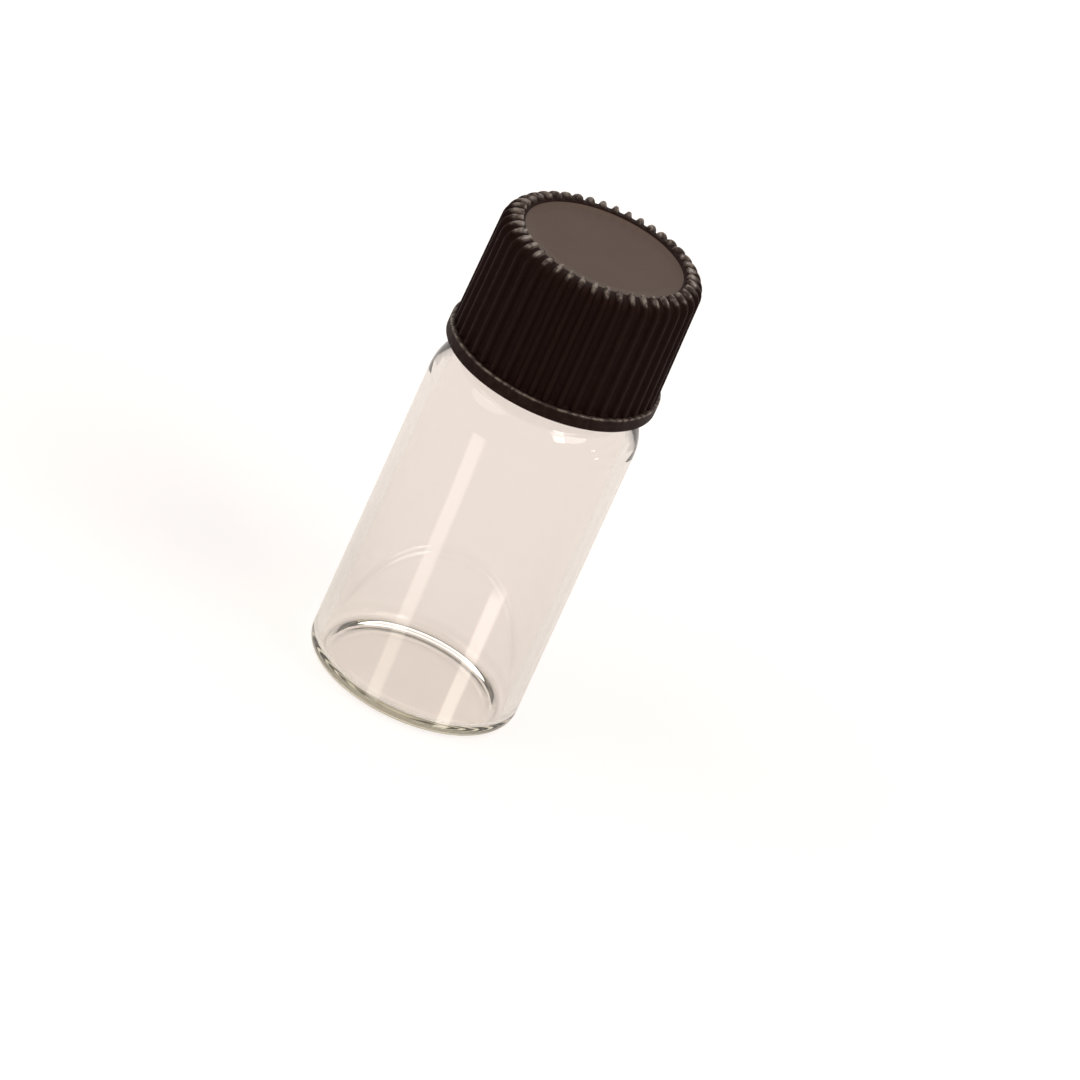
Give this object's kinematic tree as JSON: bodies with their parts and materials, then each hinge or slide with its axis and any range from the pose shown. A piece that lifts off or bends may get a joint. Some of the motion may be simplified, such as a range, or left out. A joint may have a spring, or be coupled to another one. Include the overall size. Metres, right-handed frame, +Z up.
{
  "type": "screw-cap glass sample vial",
  "caption": "Small clear glass sample vial with a threaded neck and a ribbed black screw cap that turns and lifts off, sealed by a liner disc.",
  "frame": {"origin": "middle of the base, on the surface that the vial stands on", "axes": "+Z up along the vial's axis, towards the cap; +X and +Y are any two square directions, and the threads start on +X"},
  "size_m": [0.0162, 0.0162, 0.0378],
  "materials": {
    "glass": "clear, polished, faintly warm",
    "liner": "matt, off-white foam",
    "cap": "warm black, satin"
  },
  "bodies": {
    "vial": {"glass_vial": "glass"},
    "liner": {"cap_liner": "liner"},
    "cap": {"screw_cap": "cap"}
  },
  "joints": [
    {"name": "cap_lift", "type": "slide", "parent": "vial", "child": "liner", "axis": [0, 0, 1], "range_m": [0, 0.009]},
    {"name": "cap_turn", "type": "hinge", "parent": "liner", "child": "cap", "pos_m": [0, 0, 0.0363], "axis": [0, 0, 1], "range_deg": [0, 1531]}
  ],
  "couplings": [
    {"joint": "cap_turn", "follows": "cap_lift", "rad_per_m": 2968}
  ]
}
